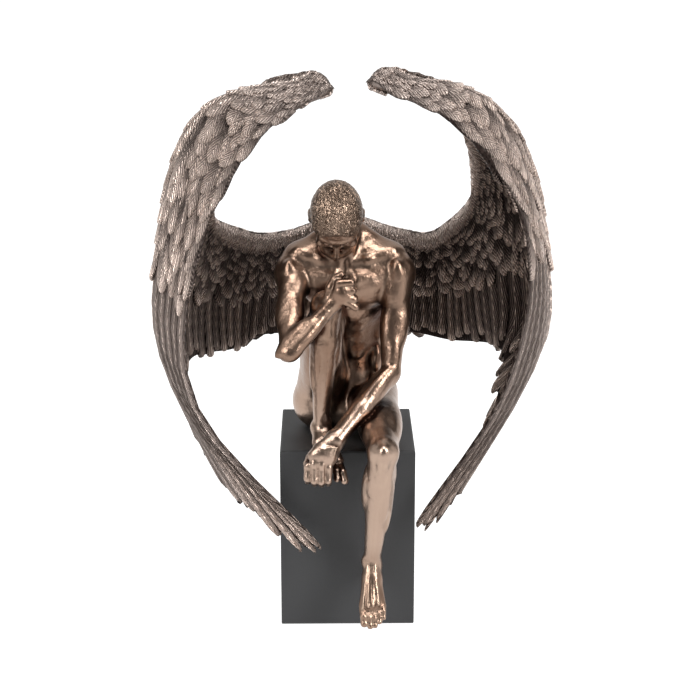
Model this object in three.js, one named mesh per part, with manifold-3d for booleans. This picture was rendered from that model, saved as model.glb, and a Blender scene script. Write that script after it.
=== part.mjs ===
// A winged man seated on a square block: a table-top figurine cast in bronzed resin, in millimetres.
// +Z is up and -Y is the front. The origin is the middle of the block's underside.
// Left and right are the sitter's own.
import * as THREE from "three";
import { mergeVertices } from "three/addons/utils/BufferGeometryUtils.js";
import Module from "manifold-3d";

// Driving dimensions.
const PLINTH_WIDTH = 64;
const PLINTH_DEPTH = 64;
const PLINTH_HEIGHT = 89;
const PLINTH_EDGE = 1; // rounding of the block's edges
const STATURE = 276; // the sitter's height if standing
const WING_HEIGHT = 215; // tip of the longest feather to the top of the wing's bend
const WING_TIP_CLEARANCE = 15; // from the block's front face to the feather tips before it
const WING_ARM_THICKNESS = 8; // of the wing's arm, along the leading edge
const FEATHER_THICKNESS = 1.6; // of the flight feathers at their tips
const COVERT_THICKNESS = 0.5; // what each row of coverts adds on each face
const VANE_RELIEF = 0.5; // height of a feather's shaft over its edges
const PEG_RADIUS = 4.5; // of the peg that each wing is glued in by
const GLUE_GAP = 0.3; // between pieces that are glued together

// Carving of a wing. Places along a feather are shares of its length.
const FLIGHT_FEATHERS = 16;
const COVERT_ROWS = [0.15, 0.29, 0.43, 0.57]; // where each row of coverts ends
const COVERT_STEP = 0.024; // the slope at the end of a row
const COVERT_SCALLOP = 0.03; // how much further a row reaches at a shaft than between two
const BARE_BLADE = [0.69, 0.78, 0.87, 0.95]; // places beyond the coverts
const TIP_NOTCH = { spine: 0.04, edge: 0.012 }; // how far in the notch between two tips reaches
const TIP_TAPER = 0.7; // thickness at the very tip over that of the blade
const ARM_SECTION = [ // from the leading edge, in radii of the arm: place along the feather, half thickness
  [-1, 0.3],
  [-0.55, 0.85],
  [0.5, 1],
];

const wasm = await Module();
wasm.setup();

// The sitter is measured in thousandths of the stature, from the middle of the block's upper front edge.
const share = STATURE / 1000;
const at = (x, y, z) => new THREE.Vector3(x * share, y * share - PLINTH_DEPTH / 2, z * share + PLINTH_HEIGHT);
const ACROSS = new THREE.Vector3(1, 0, 0);
const UPWARDS = new THREE.Vector3(0, 0, 1);

function solidOf(geometry) {
  const bare = geometry.clone();
  bare.deleteAttribute("normal");
  bare.deleteAttribute("uv");
  const merged = mergeVertices(bare, 1e-4);
  return new wasm.Manifold(
    new wasm.Mesh({
      numProp: 3,
      vertProperties: new Float32Array(merged.attributes.position.array),
      triVerts: new Uint32Array(merged.index.array),
    }),
  );
}

function meshOf(name, solid, material) {
  const { numProp, numVert, vertProperties, triVerts } = solid.getMesh();
  const points = new Float32Array(numVert * 3);
  for (let i = 0; i < numVert; i++) points.set(vertProperties.subarray(i * numProp, i * numProp + 3), i * 3);
  const geometry = new THREE.BufferGeometry();
  geometry.setAttribute("position", new THREE.BufferAttribute(points, 3));
  geometry.setIndex(new THREE.BufferAttribute(new Uint32Array(triVerts), 1));
  geometry.computeVertexNormals();
  const mesh = new THREE.Mesh(geometry, material);
  mesh.name = name;
  return mesh;
}

const joined = (solids) => solids.reduce((whole, solid) => whole.add(solid));

// A closed skin over rings with as many points each, turning anticlockwise about their direction of travel.
// Each end is closed by a ladder of faces between the two halves of its ring.
function skin(rings) {
  const sides = rings[0].length;
  const end = (rings.length - 1) * sides;
  const faces = [];
  for (let j = 0; j < sides; j++) {
    const next = (j + 1) % sides;
    for (let low = 0; low < end; low += sides) {
      const high = low + sides;
      faces.push(low + j, low + next, high + next, low + j, high + next, high + j);
    }
  }
  for (let j = 0, k = sides - 1; j + 1 < k; j++, k--) {
    faces.push(j, k, j + 1, end + j, end + j + 1, end + k);
    if (j + 1 < k - 1) faces.push(j + 1, k, k - 1, end + j + 1, end + k - 1, end + k);
  }
  const geometry = new THREE.BufferGeometry().setFromPoints(rings.flat());
  geometry.setIndex(faces);
  return solidOf(geometry);
}

const CAP_REACH = 0.62; // how far a limb's rounded end stands out, over its smaller half-size
const CAP_SIZE = 0.6; // size of the end's outer ring over the limb's

// A limb through stations [point, half-width, half-depth], both in thousandths of the stature.
// Its width lies along the vector wide, and both ends are rounded.
function limb(stations, { sides = 7, wide = ACROSS } = {}) {
  const places = stations.map(([p]) => p);
  const tangent = (i) =>
    places[Math.min(i + 1, places.length - 1)].clone().sub(places[Math.max(i - 1, 0)]).normalize();
  const ringAt = (centre, along, a, b) => {
    const u = wide.clone().addScaledVector(along, -wide.dot(along)).normalize();
    const v = along.clone().cross(u);
    return Array.from({ length: sides }, (_, j) => {
      const angle = (2 * Math.PI * j) / sides;
      return centre
        .clone()
        .addScaledVector(u, Math.cos(angle) * a * share)
        .addScaledVector(v, Math.sin(angle) * b * share);
    });
  };
  const rings = stations.map(([p, a, b = a], i) => ringAt(p, tangent(i), a, b));
  const cap = (i, sign) => {
    const [p, a, b = a] = stations[i];
    const along = tangent(i);
    const reach = sign * CAP_REACH * Math.min(a, b) * share;
    return ringAt(p.clone().addScaledVector(along, reach), along, a * CAP_SIZE, b * CAP_SIZE);
  };
  return skin([cap(0, -1), ...rings, cap(stations.length - 1, 1)]);
}

// An ellipsoid with half-sizes in thousandths of the stature, turned about X by pitch and then moved.
function ball(centre, [rx, ry, rz], pitch = 0) {
  const geometry = new THREE.SphereGeometry(1, 8, 6);
  geometry.scale(rx * share, ry * share, rz * share);
  geometry.rotateX(pitch);
  geometry.translate(centre.x, centre.y, centre.z);
  return solidOf(geometry);
}

// Landmarks of the pose. The right knee is drawn up, and the left leg hangs over the block's front.
const HIP = { right: at(-48, 146, 50), left: at(47, 159, 56) };
const KNEE = { right: at(-36, 10, 254), left: at(58, -91, 31) };
const ANKLE = { right: at(-45, 18, 43), left: at(41, -51, -183) };
const SHOULDER = { right: at(-92, 72, 298), left: at(85, 72, 298) };
const ELBOW = { right: at(-98, -51, 185), left: at(74, 29, 132) };
const WRIST = { right: at(-16, -5, 283), left: at(-20, -49, 40) };
const HEAD = at(-18, 25, 403);
const HEAD_BOW = Math.PI / 4;
const BACK = at(0, 145, 300); // behind the spine, between the shoulder blades
const BLADE_TURN = -0.35; // lean of the shoulder blades

function torso() {
  return joined([
    limb(
      [
        [at(0, 167, 15), 62, 48],
        [at(2, 163, 54), 71, 54],
        [at(2, 158, 90), 64, 47],
        [at(3, 150, 130), 63, 40],
        [at(2, 134, 174), 66, 44],
        [at(-2, 101, 239), 76, 46],
        [at(-4, 85, 284), 78, 40],
        [at(-4, 83, 316), 58, 32],
        [at(-5, 83, 338), 36, 30],
      ],
      { sides: 12 },
    ),
    ball(at(-38, 44, 268), [36, 17, 27]), // breast muscles
    ball(at(34, 44, 268), [36, 17, 27]),
    ball(at(-44, 122, 262), [32, 16, 44], BLADE_TURN), // shoulder blades
    ball(at(40, 122, 262), [32, 16, 44], BLADE_TURN),
    ball(at(-48, 138, 42), [50, 48, 46]), // seat
    ball(at(46, 184, 46), [50, 46, 48]),
    limb([[at(-24, 88, 346), 16], [at(-58, 82, 326), 17], [at(-86, 76, 312), 15]], { sides: 6, wide: UPWARDS }),
    limb([[at(14, 88, 346), 16], [at(50, 82, 326), 17], [at(79, 76, 312), 15]], { sides: 6, wide: UPWARDS }),
  ]);
}

// The head is built upright and bowed about its middle.
function head() {
  const bow = new THREE.Matrix4().makeRotationX(HEAD_BOW).setPosition(HEAD);
  const on = (x, y, z) => new THREE.Vector3(x * share, y * share, z * share).applyMatrix4(bow);
  const face = [
    [on(0, -4, 14), 42, 48],
    [on(0, -9, -14), 41, 45],
    [on(0, -14, -38), 35, 38],
    [on(0, -20, -58), 26, 29],
    [on(0, -24, -72), 16, 19],
  ];
  const side = [-1, 1];
  return joined([
    ball(on(0, 5, 5), [46, 55, 50], HEAD_BOW),
    limb(face, { sides: 10 }),
    limb([[on(0, -46, 0), 6], [on(0, -54, -18), 7], [on(0, -56, -30), 9, 8]], { sides: 6 }), // nose
    limb([[on(-26, -47, 4), 6], [on(0, -53, 3), 6], [on(26, -47, 4), 6]], { sides: 5, wide: UPWARDS }), // brow
    ...side.map((s) => ball(on(s * 44, 4, -12), [6, 11, 16], HEAD_BOW)), // ears
    limb([[at(-5, 88, 318), 38, 34], [at(-11, 80, 356), 34, 33], [at(-17, 68, 392), 34, 34]]),
  ]);
}

// Toes or fingers from a row of roots, each shorter than the last. A digit is a short limb bent along its steps.
const DIGIT_TAPER = 0.92;

function digits({ first, across, count, steps, radius, shrink }) {
  return Array.from({ length: count }, (_, i) => {
    const size = 1 - shrink * i;
    let place = first.clone().addScaledVector(across, i * share);
    const stations = [[place, radius * size]];
    for (const step of steps) {
      place = place.clone().addScaledVector(step, size * share);
      stations.push([place, radius * size * DIGIT_TAPER]);
    }
    return limb(stations, { sides: 5 });
  });
}

function rightLeg() {
  return joined([
    limb([
      [HIP.right, 48],
      [at(-46, 104, 114), 48],
      [at(-42, 56, 192), 41],
      [KNEE.right, 32],
    ]),
    limb([
      [KNEE.right, 30],
      [at(-38, 20, 212), 33],
      [at(-40, 26, 172), 34],
      [at(-43, 24, 116), 25],
      [at(-45, 20, 70), 17],
      [ANKLE.right, 18],
    ]),
    ball(at(-45, 32, 20), [17, 20, 19]), // heel
    limb([
      [at(-45, 22, 34), 18, 18],
      [at(-40, -2, 26), 20, 17],
      [at(-33, -22, 6), 25, 13],
      [at(-27, -34, -14), 28, 10],
    ]),
    ...digits({
      first: at(-6, -38, -20),
      across: new THREE.Vector3(-12, 1, 2),
      count: 5,
      steps: [new THREE.Vector3(4, -11, -22)],
      radius: 8,
      shrink: 0.09,
    }),
  ]);
}

function leftLeg() {
  return joined([
    limb([
      [HIP.left, 50],
      [at(51, 80, 52), 48],
      [at(55, -10, 44), 41],
      [KNEE.left, 34],
    ]),
    ball(at(58, -104, 36), [19, 15, 21]), // kneecap
    limb([
      [KNEE.left, 31],
      [at(55, -86, -12), 33],
      [at(51, -74, -56), 35],
      [at(47, -64, -110), 26],
      [at(42, -54, -158), 18],
      [ANKLE.left, 18],
    ]),
    ball(at(41, -32, -204), [17, 18, 20]), // heel
    limb([
      [at(41, -49, -186), 19, 19],
      [at(41, -64, -206), 20, 18],
      [at(41, -84, -234), 26, 14],
      [at(41, -95, -254), 30, 10],
    ]),
    ...digits({
      first: at(21, -97, -262),
      across: new THREE.Vector3(11, 1, 3),
      count: 5,
      steps: [new THREE.Vector3(0, -5, -18)],
      radius: 8.5,
      shrink: 0.09,
    }),
  ]);
}

function rightArm() {
  return joined([
    limb([
      [SHOULDER.right, 31],
      [at(-97, 42, 262), 29],
      [at(-99, -2, 222), 25],
      [ELBOW.right, 19],
    ]),
    limb([
      [ELBOW.right, 19],
      [at(-80, -44, 210), 22],
      [at(-50, -26, 246), 19],
      [WRIST.right, 13],
    ]),
    limb([[WRIST.right, 13, 11], [at(-4, -17, 294), 22, 11], [at(8, -25, 300), 25, 11]], {
      sides: 8,
      wide: new THREE.Vector3(-0.3, 0, 1),
    }),
    ...digits({
      first: at(4, -29, 320),
      across: new THREE.Vector3(4, 2, -13),
      count: 4,
      steps: [new THREE.Vector3(20, 2, 2), new THREE.Vector3(2, 18, 2)],
      radius: 7.5,
      shrink: 0.05,
    }),
    limb([[at(-14, -12, 304), 9], [at(-2, -12, 322), 8], [at(12, -8, 330), 7]], { sides: 6 }), // thumb
  ]);
}

function leftArm() {
  return joined([
    limb([
      [SHOULDER.left, 31],
      [at(90, 62, 252), 28],
      [at(84, 46, 192), 25],
      [ELBOW.left, 19],
    ]),
    limb([
      [ELBOW.left, 20],
      [at(56, 12, 112), 22],
      [at(24, -15, 80), 18],
      [WRIST.left, 13],
    ]),
    limb([[WRIST.left, 14, 11], [at(-36, -60, 14), 23, 11], [at(-49, -66, -8), 27, 10]], { sides: 8 }),
    ...digits({
      first: at(-69, -61, -6),
      across: new THREE.Vector3(13, -2, -5),
      count: 4,
      steps: [new THREE.Vector3(3, -6, -20), new THREE.Vector3(2, 8, -14)],
      radius: 7.5,
      shrink: 0.04,
    }),
    limb([[at(-44, -50, 16), 9], [at(-68, -42, 4), 8], [at(-76, -26, -14), 7]], { sides: 6 }), // thumb
  ]);
}

// A wing is a sheet woven from seven key feathers, from beside the spine, out along the arm and round to the
// leading edge that sweeps forward. Each is given at five places from its root to its tip. Across and up are in
// thousandths of the wing's height, outwards from the spine and up from the shoulder blades. Forward is in
// thousandths of the way from the sitter's back to the plane of the feather tips.
const KEY_FEATHERS = {
  right_wing: [
    [[37, -36, 84], [46, -55, 14], [57, -127, -62], [65, -236, -135], [72, -327, -199]],
    [[142, -200, 45], [157, -273, -22], [174, -309, -90], [186, -327, -151], [194, -345, -207]],
    [[233, -218, 37], [250, -255, -35], [260, -273, -107], [264, -273, -173], [262, -255, -236]],
    [[308, -36, 118], [330, -18, 33], [354, 36, -67], [359, 109, -154], [351, 200, -231]],
    [[182, 182, 364], [350, 182, 223], [404, 218, -20], [402, 327, -184], [318, 473, -321]],
    [[72, 327, 412], [287, 400, 340], [397, 509, 54], [410, 655, -181], [205, 909, -495]],
    [[40, 473, 396], [213, 618, 280], [332, 764, 15], [320, 873, -285], [46, 1000, -594]],
  ],
  left_wing: [
    [[27, -36, 83], [37, -55, 14], [47, -127, -62], [56, -236, -136], [64, -327, -194]],
    [[130, -200, 55], [140, -273, -14], [148, -309, -80], [153, -327, -142], [156, -345, -203]],
    [[211, -218, 52], [226, -255, -18], [234, -273, -87], [237, -273, -153], [238, -255, -216]],
    [[291, -73, 158], [311, -55, 57], [325, 0, -37], [334, 73, -124], [339, 145, -205]],
    [[222, 182, 350], [363, 182, 233], [420, 218, 23], [437, 327, -141], [320, 473, -258]],
    [[88, 327, 416], [290, 400, 358], [398, 509, 100], [415, 655, -167], [250, 909, -456]],
    [[53, 473, 405], [247, 618, 303], [378, 764, 78], [346, 873, -232], [152, 1000, -538]],
  ],
};
const OUTWARD = { right_wing: -1, left_wing: 1 };

// The line of the feather at u, which runs from 0 beside the spine to 1 at the front edge.
function feather(name, u) {
  const tipPlane = -PLINTH_DEPTH / 2 - WING_TIP_CLEARANCE;
  const curve = (points) => new THREE.CatmullRomCurve3(points, false, "catmullrom", 0.5);
  const places = KEY_FEATHERS[name][0].map((_, place) => {
    const rail = KEY_FEATHERS[name].map((key) => {
      const [across, forward, up] = key[place];
      return new THREE.Vector3(
        BACK.x + (OUTWARD[name] * across * WING_HEIGHT) / 1000,
        BACK.y + ((tipPlane - BACK.y) * forward) / 1000,
        BACK.z + (up * WING_HEIGHT) / 1000,
      );
    });
    return curve(rail).getPoint(u);
  });
  return curve(places);
}

// A place along a feather's line, which goes straight on before its root.
function along(line, v) {
  if (v > 0) return line.getPoint(Math.min(v, 1));
  return line.getPoint(0).addScaledVector(line.getTangent(0), v * line.getLength());
}

// The rows of one line of the wing's sheet: places along it, each with half the sheet's thickness there.
function rowsOf(line, u, shaft, grow) {
  const arm = WING_ARM_THICKNESS / 2 + grow;
  const blade = FEATHER_THICKNESS / 2 + grow;
  const vane = blade + (shaft ? VANE_RELIEF : 0);
  const notch = shaft ? 0 : THREE.MathUtils.lerp(TIP_NOTCH.spine, TIP_NOTCH.edge, u);
  const rows = ARM_SECTION.map(([v, half]) => ({ v: (v * arm) / line.getLength(), half: half * arm }));
  COVERT_ROWS.forEach((place, i) => {
    const end = place + (shaft ? COVERT_SCALLOP : 0);
    const layers = COVERT_ROWS.length - i;
    rows.push({ v: end - COVERT_STEP / 2, half: vane + layers * COVERT_THICKNESS });
    rows.push({ v: end + COVERT_STEP / 2, half: vane + (layers - 1) * COVERT_THICKNESS });
  });
  for (const v of BARE_BLADE) rows.push({ v: v - notch, half: vane });
  rows.push({ v: 1 - notch, half: blade * TIP_TAPER });
  return rows;
}

// The wing's sheet has a line along each feather's shaft, one between each two feathers and one along each side.
function sheet(name, grow) {
  const nearby = 0.01;
  const lines = 2 * FLIGHT_FEATHERS;
  const rings = [];
  for (let k = 0; k <= lines; k++) {
    const u = k / lines;
    const line = feather(name, u);
    const towards = u < 0.5 ? 1 : -1;
    const beside = feather(name, u + towards * nearby);
    const outer = [];
    const inner = [];
    for (const { v, half } of rowsOf(line, u, k % 2, grow)) {
      const p = along(line, v);
      const sideways = along(beside, v).sub(p).multiplyScalar(towards * OUTWARD[name]);
      const normal = sideways.cross(line.getTangent(THREE.MathUtils.clamp(v, 0, 1))).normalize();
      outer.push(p.clone().addScaledVector(normal, half));
      inner.unshift(p.clone().addScaledVector(normal, -half));
    }
    rings.push([...outer, ...inner]);
  }
  if (OUTWARD[name] > 0) rings.forEach((ring) => ring.reverse());
  return skin(rings);
}

// The peg runs from the sheet's thick root into a socket in the sitter's back.
function peg(name, grow) {
  const radius = (PEG_RADIUS + grow) / share;
  const root = feather(name, 0).getPoint(0.2);
  const end = at(OUTWARD[name] * 27, 101, 292);
  end.addScaledVector(end.clone().sub(root).normalize(), grow);
  return limb([[root, radius], [root.clone().lerp(end, 0.5), radius], [end, radius]], { sides: 8 });
}

const wing = (name, grow = 0) => sheet(name, grow).add(peg(name, grow));

function plinth(grow = 0) {
  const edge = PLINTH_EDGE;
  const x = PLINTH_WIDTH / 2 - edge;
  const y = PLINTH_DEPTH / 2 - edge;
  const outline = new THREE.Shape([
    new THREE.Vector2(-x, -y),
    new THREE.Vector2(x, -y),
    new THREE.Vector2(x, y),
    new THREE.Vector2(-x, y),
  ]);
  const geometry = new THREE.ExtrudeGeometry(outline, {
    depth: PLINTH_HEIGHT - 2 * edge,
    bevelThickness: edge + grow,
    bevelSize: edge + grow,
    bevelSegments: 2,
  });
  return solidOf(geometry.translate(0, 0, edge));
}

const bronze = new THREE.MeshStandardMaterial({ color: 0x9a7558, roughness: 0.3, metalness: 1 });
const darkBronze = new THREE.MeshStandardMaterial({ color: 0x6d5a4c, roughness: 0.45, metalness: 1 });
const blackResin = new THREE.MeshStandardMaterial({ color: 0x2d2d2e, roughness: 0.65, metalness: 0 });

const sitter = joined([torso(), head(), rightLeg(), leftLeg(), rightArm(), leftArm()])
  .subtract(plinth(GLUE_GAP))
  .subtract(wing("right_wing", GLUE_GAP))
  .subtract(wing("left_wing", GLUE_GAP));

const angel = new THREE.Group();
angel.add(
  meshOf("plinth", plinth(), blackResin),
  meshOf("figure", sitter, bronze),
  meshOf("right_wing", wing("right_wing"), darkBronze),
  meshOf("left_wing", wing("left_wing"), darkBronze),
);

export default angel;
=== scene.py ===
import math
import bpy
import numpy as np
from mathutils import Euler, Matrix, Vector


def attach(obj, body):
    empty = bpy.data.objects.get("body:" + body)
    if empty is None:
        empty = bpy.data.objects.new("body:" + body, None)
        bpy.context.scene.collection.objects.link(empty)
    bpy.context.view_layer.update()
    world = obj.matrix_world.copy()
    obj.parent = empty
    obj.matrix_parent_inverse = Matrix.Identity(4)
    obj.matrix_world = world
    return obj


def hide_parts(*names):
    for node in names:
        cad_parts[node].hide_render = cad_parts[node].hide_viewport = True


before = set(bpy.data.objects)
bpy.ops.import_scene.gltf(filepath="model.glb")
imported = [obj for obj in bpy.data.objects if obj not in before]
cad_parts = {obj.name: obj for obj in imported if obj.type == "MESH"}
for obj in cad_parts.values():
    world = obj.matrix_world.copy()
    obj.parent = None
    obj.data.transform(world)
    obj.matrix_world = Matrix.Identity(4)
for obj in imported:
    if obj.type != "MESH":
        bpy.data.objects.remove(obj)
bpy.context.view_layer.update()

LOOKING_DOWN = math.radians(16.56)
TURNED_RIGHT = math.radians(0.74)
view = bpy.data.cameras.new("view")
view.lens = 95.1
view.sensor_width = 36
camera = bpy.data.objects.new("view", view)
camera.location = (-0.0095, -0.8535, 0.383)
camera.rotation_euler = Euler((math.pi / 2 - LOOKING_DOWN, 0, -TURNED_RIGHT), "XYZ")
bpy.context.scene.collection.objects.link(camera)
bpy.context.scene.camera = camera
bpy.context.scene.view_settings.view_transform = "Standard"

# Floor and light
# A wide flat sheet of white paper, which glows a little so that it stays white all round the statuette.
# Tall soft boxes stand on either side in front, one hangs overhead, and the room is bright only behind.


class Signal:
    """The output of a node. Sums, differences and products of signals add their Math nodes."""

    def __init__(self, finish, socket):
        self.finish = finish
        self.socket = socket

    def maths(self, operation, first, second):
        return self.finish.node("ShaderNodeMath", {"operation": operation}, {0: first, 1: second})["Value"]

    def __add__(self, other):
        return self.maths("ADD", self, other)

    def __radd__(self, other):
        return self.maths("ADD", other, self)

    def __sub__(self, other):
        return self.maths("SUBTRACT", self, other)

    def __rsub__(self, other):
        return self.maths("SUBTRACT", other, self)

    def __mul__(self, other):
        return self.maths("MULTIPLY", self, other)

    def __rmul__(self, other):
        return self.maths("MULTIPLY", other, self)


class Finish:
    """The finish of a material, or the air of the room, put together node by node."""

    def __init__(self, owner):
        self.owner = owner
        owner.use_nodes = True
        self.tree = owner.node_tree
        self.tree.nodes.clear()

    def node(self, kind, settings, sockets):
        """Adds a node, sets it, gives its sockets their values or links, and returns its outputs by name."""
        node = self.tree.nodes.new(kind)
        for name, value in settings.items():
            setattr(node, name, value)
        for name, value in sockets.items():
            if isinstance(value, Signal):
                self.tree.links.new(value.socket, node.inputs[name])
            else:
                node.inputs[name].default_value = value
        return {socket.name: Signal(self, socket) for socket in node.outputs if socket.enabled}

    def mix(self, share, first, second):
        """The colour first where share is 0 and the colour second where it is 1."""
        first, second = (value if isinstance(value, Signal) else (*value, 1) for value in (first, second))
        sockets = {0: share, 6: first, 7: second}  # of a colour mix: Factor, A and B
        return self.node("ShaderNodeMix", {"data_type": "RGBA"}, sockets)["Result"]


paper = Finish(bpy.data.materials.new("white_paper"))
spot = paper.node("ShaderNodeTexCoord", {}, {})["Object"]
front = paper.node("ShaderNodeSeparateXYZ", {}, {"Vector": spot})["Y"]
# Towards the camera the glow fades almost to black: a painted dark floor, so that the metal's front faces
# mirror dark.
fade = {"Value": front, "From Min": -0.60, "From Max": -0.34, "To Min": 0.08}
lit = paper.node("ShaderNodeMapRange", {}, fade)["Result"]
white = paper.mix(lit, (0, 0, 0), (1, 1, 1))
glow = paper.node("ShaderNodeEmission", {}, {"Color": white, "Strength": 0.9})["Emission"]
matt = paper.node("ShaderNodeBsdfDiffuse", {}, {"Color": (0.3, 0.3, 0.3, 1)})["BSDF"]
both = paper.node("ShaderNodeAddShader", {}, {0: glow, 1: matt})["Shader"]
paper.node("ShaderNodeOutputMaterial", {}, {"Surface": both})

bpy.ops.object.select_all(action="DESELECT")
bpy.ops.mesh.primitive_circle_add(vertices=96, radius=6, fill_type="NGON", location=(0, 0, -0.0002))
floor = bpy.context.object
floor.name = "floor"
floor.data.materials.append(paper.owner)

LIT_PLACE = Vector((0, 0, 0.14))
for name, place, width, height, power in (
    ("left_box", (-1.3, -1.2, 1.05), 0.5, 1.4, 23),
    ("right_box", (1.3, -1.2, 1.05), 0.5, 1.4, 44),
    ("top_box", (0, -0.5, 1.9), 1.0, 0.7, 24),
):
    lamp = bpy.data.lights.new(name, "AREA")
    lamp.shape = "RECTANGLE"
    lamp.size = width
    lamp.size_y = height
    lamp.energy = power
    box = bpy.data.objects.new(name, lamp)
    box.location = place
    box.rotation_euler = (LIT_PLACE - Vector(place)).to_track_quat("-Z", "Y").to_euler()
    bpy.context.scene.collection.objects.link(box)

room = Finish(bpy.data.worlds.new("room"))
way = room.node("ShaderNodeTexCoord", {}, {})["Generated"]
behind = room.node("ShaderNodeSeparateXYZ", {}, {"Vector": way})["Y"]
level = room.node(
    "ShaderNodeMapRange",
    {"interpolation_type": "SMOOTHSTEP"},
    {"Value": behind, "From Min": -0.55, "From Max": 0.1, "To Min": 0.06, "To Max": 0.85},
)["Result"]
air = room.node("ShaderNodeBackground", {}, {"Color": (1, 1, 1, 1), "Strength": level})["Background"]
room.node("ShaderNodeOutputWorld", {}, {"Surface": air})
bpy.context.scene.world = room.owner

# Block
# A plain square block of black resin with softened edges, which the man sits on.
# It keeps its form from the solid model and gets its matt, faintly grained finish here.
black = Finish(bpy.data.materials.new("matt_black_resin"))
spot = black.node("ShaderNodeTexCoord", {}, {})["Object"]
grain = black.node("ShaderNodeTexNoise", {}, {"Vector": spot, "Scale": 900.0, "Detail": 4.0})["Fac"]
cloud = black.node("ShaderNodeTexNoise", {}, {"Vector": spot, "Scale": 28.0, "Detail": 3.0})["Fac"]
shade = black.mix(cloud, (0.012, 0.012, 0.013), (0.022, 0.022, 0.023))
tooth = black.node("ShaderNodeBump", {}, {"Strength": 0.25, "Distance": 0.0002, "Height": grain})["Normal"]
resin = black.node(
    "ShaderNodeBsdfPrincipled",
    {},
    {"Base Color": shade, "Roughness": 0.50 + cloud * 0.12, "Normal": tooth},
)["BSDF"]
black.node("ShaderNodeOutputMaterial", {}, {"Surface": resin})
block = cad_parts["plinth"]
block.data.materials.clear()
block.data.materials.append(black.owner)

# The seated man
# One casting in resin filled with bronze powder, waxed and polished to a warm brown shine.
# It is modelled as a sculptor does it: soft lumps and rods of clay are run together and made one skin.
REACH = 4.2  # how far out, in millimetres, a form changes the clay round it
NO_CLAY = 9.0  # the distance that stands for empty space
TINY = 1e-6  # keeps a division clear of nought


def steps(*stretches):
    """Grid lines in millimetres from the (start, end, step) of each stretch, close where forms are fine."""
    return np.concatenate([np.arange(*stretch) for stretch in stretches]).astype(np.float32)


GRID = [
    steps((-37, -25, 1.0), (-25, 18, 0.58), (18, 36, 0.9)),
    steps((-70, -30, 0.62), (-30, -8, 0.74), (-8, 34, 1.25)),
    steps((8, 36, 0.60), (36, 76, 1.3), (76, 99, 0.58), (99, 156, 1.05), (156, 178, 0.72), (178, 221, 0.56)),
]
UPRIGHT = np.eye(3)


def unit(vector):
    """The same direction with a length of 1."""
    vector = np.asarray(vector, float)
    return vector / np.linalg.norm(vector)


def run_together(one, other, soft):
    """One distance field from two. Forms that are nearer to each other than soft melt together."""
    melt = np.maximum(soft - np.abs(one - other), 0) ** 2 / (4 * soft)
    return np.minimum(one, other) - melt


class Clay:
    """A distance field in millimetres that forms are run into. soft is how far two forms melt together."""

    def __init__(self):
        self.field = np.full([len(axis) for axis in GRID], NO_CLAY, dtype=np.float32)

    def work(self, low, high, shape, soft, cut):
        """Runs a form that lies between the corners low and high into the clay, or cuts it out."""
        ends = zip(GRID, low - REACH - soft, high + REACH + soft)
        spans = tuple(slice(*np.searchsorted(axis, [start, end])) for axis, start, end in ends)
        x, y, z = np.meshgrid(*[axis[span] for axis, span in zip(GRID, spans)], indexing="ij")
        new = shape(x, y, z).astype(np.float32)
        old = self.field[spans]
        if cut:
            self.field[spans] = -run_together(-old, new, soft)
        else:
            self.field[spans] = run_together(old, new, soft)

    def lump(self, centre, radii, turn=UPRIGHT, soft=1.5, cut=False):
        """An ellipsoid. The rows of turn are the directions of its three radii."""
        centre, radii = np.asarray(centre, float), np.asarray(radii, float)
        extent = np.sqrt(((np.asarray(turn) * radii[:, None]) ** 2).sum(0))

        def shape(x, y, z):
            far, near = 0, 0
            for way, radius in zip(turn, radii):
                along = (x - centre[0]) * way[0] + (y - centre[1]) * way[1] + (z - centre[2]) * way[2]
                far = far + (along / radius) ** 2
                near = near + (along / radius**2) ** 2
            far = np.sqrt(far)
            return far * (far - 1) / np.maximum(np.sqrt(near), TINY)

        self.work(centre - extent, centre + extent, shape, soft, cut)

    def rod(self, start, end, first, last, wide=(1, 0, 0), soft=1.5, cut=False):
        """A tapered rod with rounded ends. first and last are (half-width, half-depth) or one radius."""
        start, end = np.asarray(start, float), np.asarray(end, float)
        first, last = np.broadcast_to(first, 2), np.broadcast_to(last, 2)
        axis = end - start
        length2 = axis @ axis
        wide = np.asarray(wide, float)
        nearly_along = 0.99
        if abs(wide @ axis) > nearly_along * np.linalg.norm(wide) * np.linalg.norm(axis):
            wide = np.array([0.0, 1.0, 0.0])
        wide = unit(wide - (wide @ axis) * axis / length2)
        reach = max(*first, *last)

        def shape(x, y, z):
            dx, dy, dz = x - start[0], y - start[1], z - start[2]
            t = np.clip((dx * axis[0] + dy * axis[1] + dz * axis[2]) / length2, 0, 1)
            dx, dy, dz = dx - t * axis[0], dy - t * axis[1], dz - t * axis[2]
            across = dx * wide[0] + dy * wide[1] + dz * wide[2]
            rest = np.maximum(dx * dx + dy * dy + dz * dz - across * across, 0)
            w = first[0] + (last[0] - first[0]) * t
            d = first[1] + (last[1] - first[1]) * t
            far = np.sqrt((across / w) ** 2 + rest / d**2)
            near = np.sqrt((across / w**2) ** 2 + rest / d**4)
            return far * (far - 1) / np.maximum(near, TINY)

        self.work(np.minimum(start, end) - reach, np.maximum(start, end) + reach, shape, soft, cut)


class Bone:
    """A limb's line from start to end. front is the way that the front of the limb faces."""

    def __init__(self, start, end, front):
        self.start, self.end = np.asarray(start, float), np.asarray(end, float)
        self.along = unit(self.end - self.start)
        self.front = unit(front - (front @ self.along) * self.along)
        self.side = np.cross(self.along, self.front)

    def at(self, t, front=0.0, side=0.0):
        """A place at the share t of the line, moved forwards and sideways in millimetres."""
        return self.start + t * (self.end - self.start) + front * self.front + side * self.side

    def muscle(self, clay, t, front, side, radii, soft, lean=0.0):
        """A lump whose radii are half-width, half-depth and half-length. lean tips its end to the side."""
        along = unit(self.along + lean * self.side)
        across = unit(self.side - lean * self.along)
        clay.lump(self.at(t, front, side), radii, [across, self.front, along], soft)


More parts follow.
